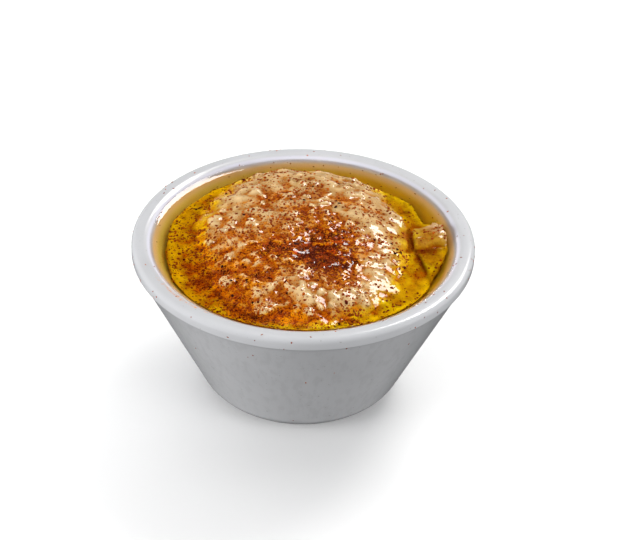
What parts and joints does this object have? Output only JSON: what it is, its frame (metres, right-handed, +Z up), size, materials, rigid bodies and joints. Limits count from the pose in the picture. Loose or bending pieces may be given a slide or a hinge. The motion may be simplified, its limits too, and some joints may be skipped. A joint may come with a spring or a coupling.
{
  "type": "hummus in a bowl",
  "caption": "Small white ceramic bowl filled to the brim with lumpy hummus, with a pool of olive oil round the heap and ground red spice on top.",
  "frame": {"origin": "on the table, under the middle of the bowl's foot", "axes": "+Z is up, out of the bowl's mouth; -Y is the side that faces the viewer"},
  "size_m": [0.11, 0.11, 0.0585],
  "materials": {
    "white_glaze": "glossy white glaze",
    "hummus": "soft wet paste",
    "olive_oil": "clear yellow oil"
  },
  "bodies": {
    "root": {"bowl": "white_glaze", "hummus": "hummus", "olive_oil": "olive_oil"}
  },
  "joints": []
}
